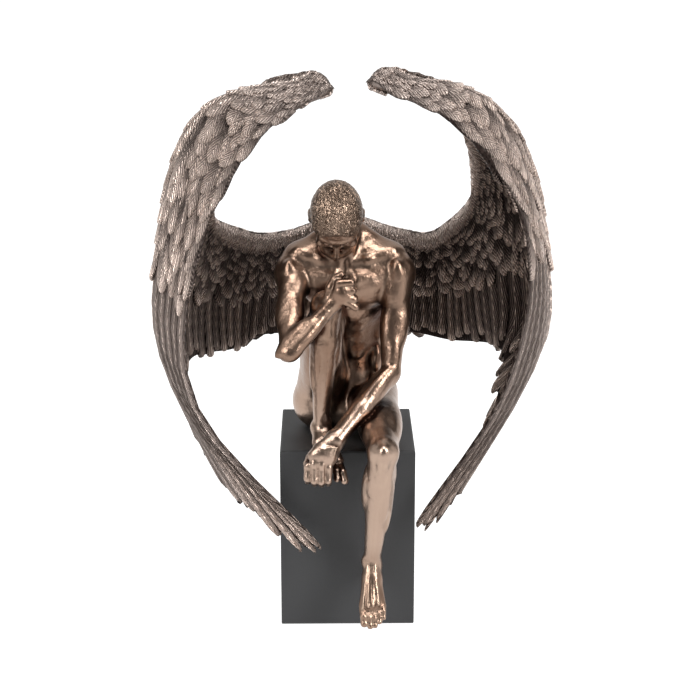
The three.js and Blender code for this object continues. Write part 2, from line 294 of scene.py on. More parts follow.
def digit(clay, points, radius, soft):
    """A finger or toe, from joint to joint, thinning a little along each bone."""
    for i, (a, b) in enumerate(zip(points, points[1:])):
        clay.rod(a, b, radius * (1 - 0.07 * i), radius * (0.93 - 0.07 * i), soft=soft)


# The places of the joints, in millimetres.
HIP = {"right": (-13.2, 8.3, 102.8), "left": (13.0, 11.9, 104.5)}
KNEE = {"right": (-9.9, -29.2, 159.1), "left": (16.0, -57.1, 97.6)}
ANKLE = {"right": (-12.4, -27.0, 100.9), "left": (11.3, -46.1, 38.5)}
SHOULDER = {"right": (-25.4, -12.1, 171.2), "left": (23.5, -12.1, 171.2)}
ELBOW = {"right": (-27.0, -46.1, 141.9), "left": (20.4, -24.0, 125.4)}
WRIST = {"right": (-7.2, -36.0, 161.6), "left": (-5.5, -45.5, 100.0)}
HEAD = np.array([-5.0, -25.1, 200.2])

# Trunk, neck, upper arms and thighs.
trunk = Clay()
SPINE = [  # centre, half-width and half-depth of the trunk, from the seat to the neck
    ((0, 14.1, 93.1), 16.5, 12.6),
    ((0.5, 13, 103.9), 18.8, 14.0),
    ((0.5, 11.6, 113.8), 16.4, 12.0),
    ((0.8, 9.0, 124.9), 15.4, 10.4),
    ((0.5, 4.6, 137), 16.8, 11.4),
    ((-0.5, -4.1, 154), 19.2, 12.0),
    ((-1.1, -8.5, 166.5), 19.6, 10.2),
    ((-1.1, -9.1, 175.0), 13.5, 8.0),
    ((-1.4, -9.1, 181.0), 8.5, 7.6),
]
for (start, *first), (end, *last) in zip(SPINE, SPINE[1:]):
    trunk.rod(start, end, first, last, soft=2.5)
trunk.rod((-1.4, -8.5, 176), (-4.8, -15.5, 196), 8.8, 8.6, soft=3.0)
for s in (-1, 1):
    trunk.rod((-1.5 + s * 3, -5.5, 190.6), (-1 + s * 21, -8.5, 178.8), 5.6, 4.8, soft=4.0)  # trapezius
    trunk.lump((-1 + s * 20.5, -8.5, 178.0), (8.5, 7.6, 6.6), soft=4.0)
    trunk.lump((-1 + s * 12.0, -12.2, 179.0), (9.5, 4.6, 5.6), soft=4.0)
    # Collar bone, chest above the breast muscle, and neck cord.
    trunk.rod((-1.3 + s * 3.2, -17.6, 177.0), (-1.2 + s * 11, -17.2, 178.0), 1.3, 1.2, soft=3.2)
    trunk.rod((-1.2 + s * 11, -17.2, 178.0), (-1 + s * 22, -13.4, 181.2), 1.3, 1.8, soft=3.4)
    trunk.rod((-1 + s * 5, -17.4, 171.4), (-1 + s * 21, -14.0, 173.6), (6.0, 3.4), (4.6, 3.8), soft=3.0)
    trunk.rod((-1.4 + s * 2.2, -17.4, 178.2), (-4 + s * 7.6, -18.5, 190), 1.6, 2.1, soft=1.2)
    chest = [unit((1, s * 0.30, 0.10)), unit((-s * 0.3, 1, 0.28)), unit((0, -0.28, 1))]
    trunk.lump((-1 + s * 10.2, -16.4, 163.4), (10.8, 4.9, 9.4), chest, 1.8)  # breast muscle
    trunk.rod((-1 + s * 13, -16.4, 168.0), (-1 + s * 22, -13.5, 170.5), (5.2, 3.4), 3.6, soft=2.6)
    blade = [unit((1, s * -0.25, 0)), unit((s * 0.25, 1, 0.35)), unit((0, -0.35, 1))]
    trunk.lump((-1 + s * 11.5, 2.2, 162.5), (7.6, 3.6, 10.5), blade, 2.0)  # shoulder blade
    trunk.rod((-1 + s * 5, 3.5, 168.5), (-1 + s * 21, -5.0, 174.0), 2.0, 2.4, soft=2.0)
    trunk.lump((-0.5 + s * 15.5, 1.0, 150), (5.0, 8.5, 17), soft=2.5)  # broad back muscle
    # Cords beside the spine, rib muscle, belly muscle, flank and the crest of the hip bone.
    trunk.rod((0.5 + s * 4.6, 22.0, 110), (0.5 + s * 4.8, 16.6, 126), 3.3, 3.4, soft=2.0)
    trunk.rod((0.5 + s * 4.8, 16.6, 126), (-0.5 + s * 4.2, 4.8, 158), 3.4, 2.8, soft=2.0)
    for i in range(3):
        rib = (s * (15.6 - 0.6 * i), -9.5 + 2.6 * i, 153.5 - 5.2 * i)
        trunk.rod(rib, np.add(rib, (s * 1.9, 4.5, 2.2)), 1.5, 1.3, soft=1.4)
    belly = ((-13.2, 150.5, 3.784), (-9.8, 144.6, 3.612), (-6.0, 137.8, 3.612), (-2.6, 129.8, 4.472))
    for y, z, tall in belly:
        trunk.lump((-0.2 + s * 4.2, y, z), (3.9, 2.3, tall), soft=1.0)
    trunk.lump((0.4 + s * 13.6, 4.0, 126), (4.8, 8.4, 9.5), soft=2.0)
    trunk.lump((0.4 + s * 14.0, 6.5, 115.5), (5.2, 9.0, 5.0), soft=2.0)
# The hollow of the spine, the line down the belly and the bump of the throat.
trunk.rod((0.5, 27.4, 107), (0.4, 21.2, 129), 1.3, 1.3, soft=5.0, cut=True)
trunk.rod((0.4, 21.2, 129), (-0.8, 8.0, 163), 1.3, 1.3, soft=5.0, cut=True)
trunk.rod((0.1, -16.4, 149), (0.5, -3.0, 124), 0.5, 0.4, soft=1.6, cut=True)
trunk.lump((-1.8, -19.5, 184.6), (1.5, 1.4, 2.0), soft=1.4)
# The seat and the hips.
trunk.lump((-13.2, 7.0, 100.8), (13.0, 13.6, 13.0), soft=3.0)
trunk.lump((-9.8, 17.6, 101.4), (9.6, 11.2, 12.0), soft=2.0)
trunk.lump((12.4, 18.2, 101.8), (11.8, 11.8, 12.4), soft=2.0)
trunk.lump((0.6, 2.5, 97.0), (7.5, 6.5, 7.0), soft=3.5)

upper_arm = {s: Bone(SHOULDER[s], ELBOW[s], np.subtract(WRIST[s], ELBOW[s])) for s in ("right", "left")}
for s, out in (("right", -1.0), ("left", 1.0)):
    arm = upper_arm[s]
    trunk.rod(arm.at(0.0), arm.at(1.0), 6.6, (4.6, 4.2), soft=3.0)
    cap = np.array(SHOULDER[s]) + (0, 0, -1.0)
    outward = np.array([out, 0, 0])
    trunk.lump(cap + outward * 1.2, (7.6, 8.0, 9.4), soft=2.6)  # shoulder muscle, in three heads
    arm.muscle(trunk, 0.14, 0.5, 0.0, (7.4, 7.4, 12.0), 2.0)
    front_head = cap + outward * 0.6 + (0, -4.6, -1.5)
    tipped = [unit((1, 0, 0.1)), unit((0, 1, 0.2)), unit((0.05, -0.3, 1))]
    trunk.lump(front_head, (4.2, 4.4, 10.0), tipped, 1.5)
    rear_head = cap + outward * 0.4 + (0, 4.4, -2.5)
    trunk.lump(rear_head, (4.2, 4.4, 9.0), soft=1.6)
    arm.muscle(trunk, 0.53, 2.5, 0.6, (4.5, 4.1, 13.5), 1.4)  # biceps
    arm.muscle(trunk, 0.50, -2.3, 2.3, (3.8, 4.2, 13.5), 1.4)  # triceps
    arm.muscle(trunk, 0.46, -2.5, -2.2, (3.8, 4.2, 14.5), 1.4)
    arm.muscle(trunk, 0.78, 0.4, 2.6, (2.6, 3.6, 8.5), 1.4)
    arm.muscle(trunk, 0.78, 0.4, -2.6, (2.6, 3.4, 8.0), 1.4)

thigh = {
    "right": Bone(HIP["right"], KNEE["right"], np.array([0.0, 0.83, 0.55])),
    "left": Bone(HIP["left"], KNEE["left"], np.array([0.0, 0.1, 1.0])),
}
for s, inner in (("right", -1), ("left", 1)):
    leg = thigh[s]
    trunk.rod(leg.at(0.02), leg.at(1.0), (12.2, 11.2), (7.2, 7.2), soft=3.0)
    leg.muscle(trunk, 0.52, 4.6, 0.0, (6.2, 6.0, 23), 1.8)  # middle of the thigh's front
    leg.muscle(trunk, 0.55, 2.0, -5.4 * inner, (5.6, 7.0, 23), 1.8)  # outer
    leg.muscle(trunk, 0.76, 2.2, 4.8 * inner, (4.8, 5.6, 11), 1.6)  # inner, above the knee
    leg.muscle(trunk, 0.42, -4.2, -3.0 * inner, (6.2, 6.2, 23), 1.8)  # back of the thigh
    leg.muscle(trunk, 0.42, -4.2, 3.6 * inner, (6.2, 6.2, 23), 1.8)
    leg.muscle(trunk, 0.20, 0.5, 6.0 * inner, (6.4, 7.6, 15), 2.2)


# Lower legs and feet.
def lower_leg(s, inner):
    """The clay of one lower leg. inner is 1 or -1, the way along the bone's side that faces the other leg."""
    clay = Clay()
    shin = Bone(KNEE[s], ANKLE[s], np.array([0.0, -1.0, 0.0]))
    clay.rod(shin.at(0.0), shin.at(0.30), (6.6, 7.0), (6.2, 6.6), soft=2.0)
    clay.rod(shin.at(0.30), shin.at(1.0), (6.4, 6.6), (3.7, 3.9), soft=2.0)
    clay.lump(shin.at(-0.03, 5.6), (3.4, 3.2, 4.6), [shin.side, shin.front, shin.along], 2.6)  # kneecap
    shin.muscle(clay, 0.02, 0.6, 4.0 * inner, (2.9, 4.8, 5.6), 1.6)
    shin.muscle(clay, 0.02, 0.6, -4.0 * inner, (2.8, 4.6, 5.4), 1.6)
    clay.lump(shin.at(0.02, 6.4, 1.3), (1.0, 1.6, 5.2), [shin.side, shin.front, shin.along], 1.2)
    clay.lump(shin.at(0.01, 6.4, -1.5), (1.0, 1.5, 4.2), [shin.side, shin.front, shin.along], 1.2)
    clay.rod(shin.at(0.06, 6.2), shin.at(0.20, 5.6), (1.7, 1.2), (1.6, 1.4), soft=2.4)  # knee tendon
    shin.muscle(clay, 0.33, -2.2, 4.9 * inner, (3.4, 5.0, 13.5), 0.7)  # calf
    shin.muscle(clay, 0.25, -4.2, -3.2 * inner, (4.2, 4.4, 12.5), 1.1)
    shin.muscle(clay, 0.48, -2.0, 0.0, (5.4, 4.4, 14), 1.8)
    shin.muscle(clay, 0.34, 3.2, -2.8 * inner, (2.8, 3.8, 17), 0.9)  # front of the shin
    shin.muscle(clay, 0.42, 1.4, -4.6 * inner, (2.2, 3.2, 17), 0.8)
    # Edge of the shin bone, heel tendon and ankle bones.
    clay.rod(shin.at(0.16, 5.8, 1.0 * inner), shin.at(0.9, 3.3, 0.8 * inner), 1.3, 0.9, soft=1.3)
    clay.rod(shin.at(0.62, -4.0), shin.at(1.06, -5.6), 1.7, 1.6, soft=1.8)
    clay.lump(shin.at(0.99, 0.3, 3.3 * inner), (1.8, 2.3, 2.6), soft=1.6)
    clay.lump(shin.at(1.03, -0.4, -3.2 * inner), (1.7, 2.3, 2.8), soft=1.6)
    return clay


right_leg = lower_leg("right", -1)
right_leg.lump((-12.4, -22.4, 95.2), (4.4, 5.4, 5.0), soft=2.0)  # heel
right_leg.rod((-12.4, -26.0, 98.0), (-11.0, -33.0, 94.5), (4.8, 4.6), (5.4, 3.6), soft=2.0)
right_leg.rod((-11.0, -33.0, 94.0), (-8.6, -39.5, 86.0), (5.6, 3.4), (6.8, 2.4), soft=2.0)
right_leg.rod((-12.0, -28.0, 94.6), (-5.0, -38.0, 86.0), 3.2, 2.6, soft=2.0)
# The toes hang over the edge of the block, from the big one outwards.
roots = np.linspace((-3.6, -40.0, 84.5), (-13.6, -38.6, 87.0), 5)
tips = np.linspace((-1.5, -46.4, 79.6), (-16.0, -43.0, 82.0), 5)
for i, (root, tip) in enumerate(zip(roots, tips)):
    radius, ball = (2.0, (1.9, 1.9, 1.9)) if i == 0 else (1.75 - 0.08 * i, (1.7, 1.6, 1.7))
    middle = root * 0.45 + tip * 0.55 + (0, -1.2, 1.4)
    digit(right_leg, [root, middle, tip], radius, 0.4)
    right_leg.lump(tip, ball, soft=0.3)
    right_leg.rod(root, (-11.5 - 0.6 * i, -31.0, 96.0), 1.0, 0.7, soft=1.2)

left_leg = lower_leg("left", 1)
left_leg.lump((11.3, -40.8, 32.4), (3.9, 4.9, 5.4), soft=2.0)  # heel
left_leg.rod((11.3, -45.8, 38.6), (11.3, -49.6, 32.0), (3.7, 4.2), (4.3, 4.0), soft=2.4)
left_leg.rod((11.3, -49.6, 32.0), (11.4, -56.4, 20.6), (4.4, 3.9), (6.4, 3.0), soft=2.0)
left_leg.rod((11.2, -49.8, 33.2), (11.0, -55.6, 23.0), 3.4, 2.8, soft=3.0)
left_leg.rod((10.6, -43.0, 31.0), (8.2, -54.0, 20.0), 3.3, 3.0, soft=2.0)
ARCH = (1.9, 2.9, 3.1, 2.7, 1.7)
TOE_RADIUS = (1.85, 1.5, 1.35, 1.3, 1.2)
roots = np.linspace((6.8, -57.2, 19.4), (16.6, -56.8, 21.2), 5)
tips = np.array(
    [(7.4, -60.4, 13.6), (10.2, -61.0, 12.5), (12.5, -61.0, 12.9), (14.6, -60.6, 14.6), (16.5, -60.0, 16.4)]
)
for i, (root, tip) in enumerate(zip(roots, tips)):
    middle = root * 0.5 + tip * 0.5 + (0, -1.0, 0.6)
    digit(left_leg, [root, middle, tip], TOE_RADIUS[i], 0.25)
    left_leg.lump(tip + (0, -0.3, 0), np.array([1, 0.95, 1]) * TOE_RADIUS[i], soft=0.3)
    if 0 < i < 4:
        left_leg.rod(root + (0, 2.6, 3.0), root + (0, 0.1, 0.2), 1.4, 1.35, soft=1.2)
    knuckle = root + np.array([0, -0.85, 0.52]) * ARCH[i]
    instep = np.array([11.3 + (i - 2) * 1.5, -53.4 + 0.25 * (i - 2) ** 2, 33.8])
    if i < 4:
        left_leg.rod(knuckle + (0, -0.3, 0.2), instep + (0, -0.2, 0.1), 0.6, 0.55, soft=0.5)
        left_leg.rod(instep + (0, -0.2, 0.1), (11.3 + (i - 1.5) * 1.1, -48.9, 42.0), 0.55, 0.4, soft=0.5)


# Forearms and hands.
def forearm(s, thumb, girth):
    """The clay of one forearm. thumb is 1 or -1, the way along the bone's side that the thumb is on."""
    clay = Clay()
    arm = Bone(ELBOW[s], WRIST[s], upper_arm[s].at(0.0) - upper_arm[s].at(1.0))
    middle, wrist = np.array([4.2, 3.8]) * girth, np.array([3.7, 2.8]) * girth
    clay.rod(arm.at(0.0), arm.at(0.55), 4.6, middle, wide=arm.side, soft=1.5)
    clay.rod(arm.at(0.55), arm.at(1.0), middle, wrist, wide=arm.side, soft=1.5)
    arm.muscle(clay, 0.20, 2.0, 2.4 * thumb, (3.2, 3.6, 12), 1.3, 0.05)
    arm.muscle(clay, 0.28, 1.2, -2.2 * thumb, (3.6, 3.6, 13), 1.3)
    arm.muscle(clay, 0.30, -2.4, 0.6, (3.4, 3.0, 13), 1.2)
    arm.muscle(clay, 0.05, -3.4, 0.0, (2.8, 2.2, 4.5), 1.4)  # point of the elbow
    back = -2.2 * girth
    clay.rod(arm.at(0.45, back - 0.6, 1.4), arm.at(1.02, back - 0.2, 1.6), 0.9, 0.7, soft=1.2)  # tendons
    clay.rod(arm.at(0.45, back - 0.8, -1.0), arm.at(1.02, back - 0.4, -0.8), 0.9, 0.7, soft=1.2)
    return clay


right_arm = forearm("right", 1, 1.0)
FIST_WIDE = (0.49, -0.05, -0.87)
right_arm.rod(WRIST["right"], (-2.6, -37.4, 167.2), (3.9, 2.8), (5.2, 3.3), wide=FIST_WIDE, soft=1.6)
right_arm.rod((-2.6, -37.4, 167.2), (-0.8, -37.2, 168.2), (5.4, 3.3), (5.2, 2.9), wide=FIST_WIDE, soft=1.2)
knuckles = np.linspace((-4.2, -38.6, 172.4), (0.4, -38.8, 163.0), 4)
bends = np.linspace((1.6, -38.0, 172.6), (3.6, -38.4, 160.8), 4)
for i, (root, bend) in enumerate(zip(knuckles, bends)):
    second = bend + (0.4, 4.0, -0.4)
    digit(right_arm, [root, bend, second, second + (-4.0, 1.0, -0.4)], 1.9 - 0.06 * i, 0.7)
    right_arm.rod(root, (-6.2 + 0.5 * i, -38.2, 163.2), 0.9, 0.6, soft=1.0)
thumb = [(-9.2, -35.4, 164.2), (-8.2, -35.8, 169.6), (-6.0, -36.0, 174.0), (-2.8, -36.2, 175.8)]
digit(right_arm, thumb, 2.1, 0.6)

left_arm = forearm("left", -1, 1.25)
palm = (-10.2, -48.0, 94.0)
left_arm.rod(WRIST["left"], palm, (4.6, 3.4), (5.8, 3.2), wide=(0.80, -0.1, -0.55), soft=2.6)
left_arm.rod(palm, (-13.0, -48.8, 90.2), (6.0, 3.1), (6.8, 2.8), wide=(0.93, 0, -0.36), soft=2.4)
left_arm.lump((-12.6, -50.0, 92.6), (5.2, 2.2, 4.6), soft=2.0)
knuckles = np.array([(-18.6, -49.4, 88.0), (-15.6, -50.6, 89.4), (-12.2, -50.8, 89.0), (-8.9, -50.0, 87.2)])
bends = np.array([(-18.8, -51.0, 82.4), (-15.6, -52.0, 81.6), (-12.4, -52.0, 81.2), (-9.2, -51.2, 81.4)])
for i, (root, bend) in enumerate(zip(knuckles, bends)):
    tip = bend + (0.1, 3.2, -2.6)
    left_arm.rod(root, bend, 1.85, 1.72, soft=0.55)
    left_arm.rod(bend, tip, 1.72, 1.5, soft=0.5)
    left_arm.rod(root + (0, -0.6, 0.4), (-9.0 + i * 1.3, -50.8, 97.6), 0.65, 0.45, soft=0.8)
    left_arm.lump(root + (0, -0.8, 0.2), (1.5, 1.4, 1.7), soft=1.0)
digit(left_arm, [(-12.0, -46.6, 93.6), (-17.8, -46.4, 91.2), (-19.4, -44.6, 87.4)], 1.8, 0.8)

# The head is modelled looking straight ahead and then bowed.
BOW = math.radians(52)
BOWED = np.array([[1, 0, 0], [0, math.cos(BOW), math.sin(BOW)], [0, -math.sin(BOW), math.cos(BOW)]])
head = Clay()


def on(x, y, z):
    """A place on the bowed head, in millimetres to its left, behind and above its middle."""
    return HEAD + np.array([x, y, z]) @ BOWED


head.lump(on(0, 1.4, 1.6), (11.5, 14.2, 12.6), BOWED, 1.0)  # skull
head.rod(on(0, -3.0, -1), on(0, -5.2, -14.4), (9.9, 10.4), (7.0, 7.2), soft=3.0)
head.rod(on(0, -6.6, 6.0), on(0, -8.4, 1.0), (8.8, 5.6), (8.6, 4.7), soft=2.5)  # forehead
for s in (-1, 1):
    head.rod(on(s * 8.8, -0.5, -9.5), on(s * 3.4, -9.8, -18.0), 2.2, 2.0, soft=2.4)  # jaw
    head.lump(on(s * 6.4, -9.4, -6.4), (3.2, 2.8, 2.3), BOWED, 2.2)  # cheekbone
    head.lump(on(s * 4.2, -9.0, -12.0), (3.6, 3.4, 4.2), BOWED, 2.2)
    head.rod(on(s * 1.5, -13.0, 0.6), on(s * 6.8, -11.0, 0.7), 1.2, 1.0, soft=1.8)  # brow
    head.lump(on(s * 4.2, -14.0, -2.7), (2.6, 2.2, 1.6), BOWED, 1.6, cut=True)  # eye socket
    head.lump(on(s * 4.2, -11.2, -3.0), (2.3, 2.0, 1.8), BOWED, 0.5)  # lid
    head.rod(on(s * 2.2, -13.1, -3.9), on(s * 6.0, -12.5, -3.9), 0.45, 0.4, soft=0.6)
    head.lump(on(s * 1.8, -14.2, -9.4), (1.2, 1.6, 1.1), BOWED, 0.9)  # wing of the nose
    head.lump(on(s * 12.3, 2.6, -2.4), (1.1, 2.5, 3.7), BOWED, 0.6)  # ear
    head.lump(on(s * 13.4, 1.4, -2.4), (0.9, 1.3, 2.2), BOWED, 0.5, cut=True)
    head.lump(on(s * 12.2, 1.4, -6.0), (0.9, 1.2, 1.4), BOWED, 0.6)
head.rod(on(0, -12.6, -1.2), on(0, -15.6, -8.2), 1.2, 1.6, soft=1.4)  # nose
head.lump(on(0, -15.8, -8.8), (1.6, 1.6, 1.3), BOWED, 0.8)
head.lump(on(0, -11.2, -13.6), (4.6, 3.2, 3.4), BOWED, 2.2)
head.lump(on(0, -13.9, -12.5), (3.0, 1.3, 0.9), BOWED, 0.6)  # lips
head.lump(on(0, -13.6, -14.2), (2.6, 1.4, 1.0), BOWED, 0.6)
head.rod(on(-2.9, -15.0, -13.3), on(2.9, -15.0, -13.3), 0.3, 0.3, soft=0.5, cut=True)
head.lump(on(0, -12.8, -16.0), (2.6, 1.0, 0.7), BOWED, 1.0, cut=True)
head.lump(on(0, -10.8, -18.4), (3.0, 2.6, 2.2), BOWED, 1.6)  # chin
# The hair is cropped short. Its curls are a small ripple in the clay.
hair = Clay()
hair.lump(on(0, 1.2, 2.0), (12.2, 15.5, 13.3), BOWED, 0.5)
x, y, z = np.meshgrid(*GRID, indexing="ij", sparse=True)
bent_x = x + 0.9 * np.sin(1.1 * y + 0.7 * z)
bent_y = y + 0.9 * np.sin(z + 0.8 * x)
bent_z = z + 0.9 * np.sin(0.9 * x + 1.2 * y)
ripple = np.sin(3.0 * bent_x) * np.cos(3.1 * bent_y)
ripple = ripple + np.sin(3.2 * bent_y) * np.cos(2.9 * bent_z)
ripple = ripple + np.sin(3.0 * bent_z) * np.cos(3.2 * bent_x)
RIPPLE_HEIGHT = 0.13
RIPPLE_REACH = 3
ripple = np.where(hair.field < RIPPLE_REACH, RIPPLE_HEIGHT * ripple, 0)
hair.field = hair.field + ripple.astype(np.float32)
hair.lump(on(0, -16.0, -12.8), (15.0, 11.4, 20.6), BOWED, 0.8, cut=True)
hair.lump(on(0, 4.0, -20.0), (16, 22, 13.5), BOWED, 0.8, cut=True)

skin = run_together(trunk.field, head.field, 1.6)
skin = run_together(skin, hair.field, 0.4)
for piece in (right_leg, left_leg, right_arm, left_arm):
    skin = run_together(skin, piece.field, 1.2)
# The skin stops just short of the block's sides and top.
SEAT_HALF = 32.3
SEAT_TOP = 89.3
seat = np.maximum(np.maximum(np.abs(x) - SEAT_HALF, np.abs(y) - SEAT_HALF), z - SEAT_TOP)
skin = np.maximum(skin, -seat)


def skin_mesh(field):
    """Surface nets: one point in each cell that the surface crosses, one face at each crossed grid line."""
    inside = field < 0
    nx, ny, nz = (n - 1 for n in field.shape)
    corners = {}
    for i, j, k in np.ndindex(2, 2, 2):
        corners[i, j, k] = (slice(i, i + nx), slice(j, j + ny), slice(k, k + nz))
    count = sum(inside[spans].astype(np.int8) for spans in corners.values())
    cells = np.argwhere((count > 0) & (count < 8))
    number = np.full((nx, ny, nz), -1, dtype=np.int64)
    number[tuple(cells.T)] = np.arange(len(cells))
    total = np.zeros((len(cells), 3))
    crossed = np.zeros(len(cells))
    for a in corners:
        for axis in range(3):
            if a[axis]:
                continue
            b = tuple(v + (i == axis) for i, v in enumerate(a))
            one = field[tuple((cells + a).T)]
            two = field[tuple((cells + b).T)]
            cross = (one < 0) != (two < 0)
            share = np.where(cross, one / np.where(cross, one - two, 1), 0)
            place = np.stack([GRID[i][cells[:, i] + a[i]] for i in range(3)], 1)
            place[:, axis] += share * (GRID[axis][cells[:, axis] + 1] - GRID[axis][cells[:, axis]])
            total += place * cross[:, None]
            crossed += cross
    points = total / crossed[:, None]
    faces = []
    for axis in range(3):
        u, v = (axis + 1) % 3, (axis + 2) % 3
        low = [slice(1, -1)] * 3
        low[axis] = slice(0, -1)
        high = list(low)
        high[axis] = slice(1, None)
        first, second = inside[tuple(low)], inside[tuple(high)]
        for rising in (True, False):
            edges = np.argwhere((first & ~second) if rising else (second & ~first))
            edges[:, u] += 1
            edges[:, v] += 1
            ring = []
            for du, dv in ((-1, -1), (0, -1), (0, 0), (-1, 0)):
                cell = edges.copy()
                cell[:, u] += du
                cell[:, v] += dv
                ring.append(number[tuple(cell.T)])
            ring = np.stack(ring, 1)
            faces.append(ring if rising else ring[:, ::-1])
    return points, np.concatenate(faces)


def sample(field, places):
    """The field's value at each place, by straight-line steps between the grid's points."""
    low, share = [], []
    for axis, values in zip(GRID, places.T):
        index = np.interp(values, axis, np.arange(len(axis)))
        base = np.clip(index.astype(int), 0, len(axis) - 2)
        low.append(base)
        share.append(index - base)
    total = 0
    for i, j, k in np.ndindex(2, 2, 2):
        weight = np.abs(1 - i - share[0]) * np.abs(1 - j - share[1]) * np.abs(1 - k - share[2])
        total = total + weight * field[low[0] + i, low[1] + j, low[2] + k]
    return total


def piece_of(name, points, faces):
    """A piece with a smooth skin, from points in millimetres and the corners of each face."""
    mesh = bpy.data.meshes.new(name)
    mesh.from_pydata((points / 1000).tolist(), [], faces)
    mesh.shade_smooth()
    piece = bpy.data.objects.new(name, mesh)
    bpy.context.scene.collection.objects.link(piece)
    return piece


def mark(piece, marks):
    """Gives each point of a piece a number under each name in marks, for its finish to read."""
    for name, values in marks.items():
        layer = piece.data.attributes.new(name, "FLOAT", "POINT")
        layer.data.foreach_set("value", values.astype(np.float32))


points, quads = skin_mesh(skin)
man = piece_of("seated_man", points, quads.tolist())
normals = np.empty(len(points) * 3, dtype=np.float32)
man.data.vertex_normals.foreach_get("vector", normals)
normals = normals.reshape(-1, 3)


def closed_in(far):
    """1 where other skin is close by, far millimetres out from a point, and 0 where there is only air."""
    return np.clip(1 - sample(skin, points + normals * far) / far, 0, 1)


# Painted shade: the legs and belly also get darker where a limb hangs in front of them.
IN_FRONT = (7.0, 10.0, 13.0, 16.0, 19.0)
SCREENED_BELOW = 156
nearest = np.min([sample(skin, points + normals * far) for far in IN_FRONT], axis=0)
# In crevices the skin darkens, partly as the bronze's dark patina and partly as painted shade; in the wider
# hollows the darkening is painted shade.
marks = {
    "hollow": closed_in(1.6),
    "ridge": np.clip(1 + sample(skin, points - normals), 0, 1),
    "deep_shade": closed_in(3.6),
    "limb_shade": np.clip(1 - nearest / 3.5, 0, 1) * (points[:, 2] < SCREENED_BELOW),
    "curly": np.clip(1.6 - np.abs(sample(hair.field, points)) / 0.25, 0, 1),
}
mark(man, marks)

bronze = Finish(bpy.data.materials.new("polished_bronze"))
spot = bronze.node("ShaderNodeTexCoord", {}, {})["Object"]
hollow, ridge, deep_shade, limb_shade, curly = (
    bronze.node("ShaderNodeAttribute", {"attribute_name": name}, {})["Fac"] for name in marks
)
cloud = bronze.node("ShaderNodeTexNoise", {}, {"Vector": spot, "Scale": 60.0, "Detail": 4.0})["Fac"]
tool_marks = bronze.node("ShaderNodeTexNoise", {}, {"Vector": spot, "Scale": 230.0, "Detail": 3.0})["Fac"]
skin_grain = bronze.node("ShaderNodeTexNoise", {}, {"Vector": spot, "Scale": 900.0, "Detail": 3.0})["Fac"]
squeezed = {0: spot, 1: (1.5, 0.75, 0.75)}
stretched = bronze.node("ShaderNodeVectorMath", {"operation": "MULTIPLY"}, squeezed)["Vector"]
swirl = bronze.node("ShaderNodeTexNoise", {}, {"Vector": stretched, "Scale": 230.0, "Detail": 1.0})["Fac"]
curls = bronze.node("ShaderNodeMath", {"operation": "SINE"}, {0: swirl * 110.0})["Value"] * 0.5 + 0.5
height = bronze.node("ShaderNodeSeparateXYZ", {}, {"Vector": spot})["Z"]
# Low on the legs, above the feet, the bronze is painted lighter: a painted highlight for the stronger light
# on the shins.
below_knee = bronze.node("ShaderNodeMapRange", {}, {"Value": height, "From Min": 0.130, "From Max": 0.098})
above_foot = bronze.node("ShaderNodeMapRange", {}, {"Value": height, "From Min": 0.030, "From Max": 0.050})
shade = bronze.mix(cloud, (0.135, 0.078, 0.052), (0.31, 0.21, 0.155))
shade = bronze.mix(below_knee["Result"] * above_foot["Result"] * 0.75, shade, (0.42, 0.31, 0.245))
shade = bronze.mix(ridge * 0.6, shade, (0.66, 0.50, 0.38))
# Painted shade, with the patina of the crevices: the skin is mixed towards dark brown in crevices, in wider
# hollows and behind the limbs.
patina_and_shade = hollow * 1.2 + deep_shade * 0.9 - 0.2 + limb_shade * 0.75
shade = bronze.mix(patina_and_shade, shade, (0.050, 0.024, 0.016))
tress = bronze.mix(curls, (0.050, 0.029, 0.020), (0.36, 0.26, 0.195))
shade = bronze.mix(curly, shade, tress)
relief = tool_marks * 1.25 + skin_grain * 0.35 + curly * curls * 0.7
cast = bronze.node("ShaderNodeBump", {}, {"Strength": 0.8, "Distance": 0.0004, "Height": relief})["Normal"]
rough = 0.23 + cloud * 0.14 + hollow * 0.15 + curly * 0.06
metal = bronze.node(
    "ShaderNodeBsdfPrincipled",
    {},
    {"Base Color": shade, "Metallic": 1.0, "Roughness": rough, "Normal": cast},
)["BSDF"]
bronze.node("ShaderNodeOutputMaterial", {}, {"Surface": metal})
man.data.materials.append(bronze.owner)
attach(man, "root")
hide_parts("figure")

# Wings
# Two castings of the same resin, glued into the back. A dark antique wash is rubbed off the feathers' edges,
# and painted shade darkens their covered roots and their sides.
# Each is a curved blade with a round arm along its upper edge, and both faces are laid with single feathers:
# small scales on the arm, longer coverts in overlapping steps, and long flight feathers out to the tips.
BACK = np.array([0.0, 8.0, 171.8])
WING_HEIGHT = 215.0
WING_REACH = 55.0
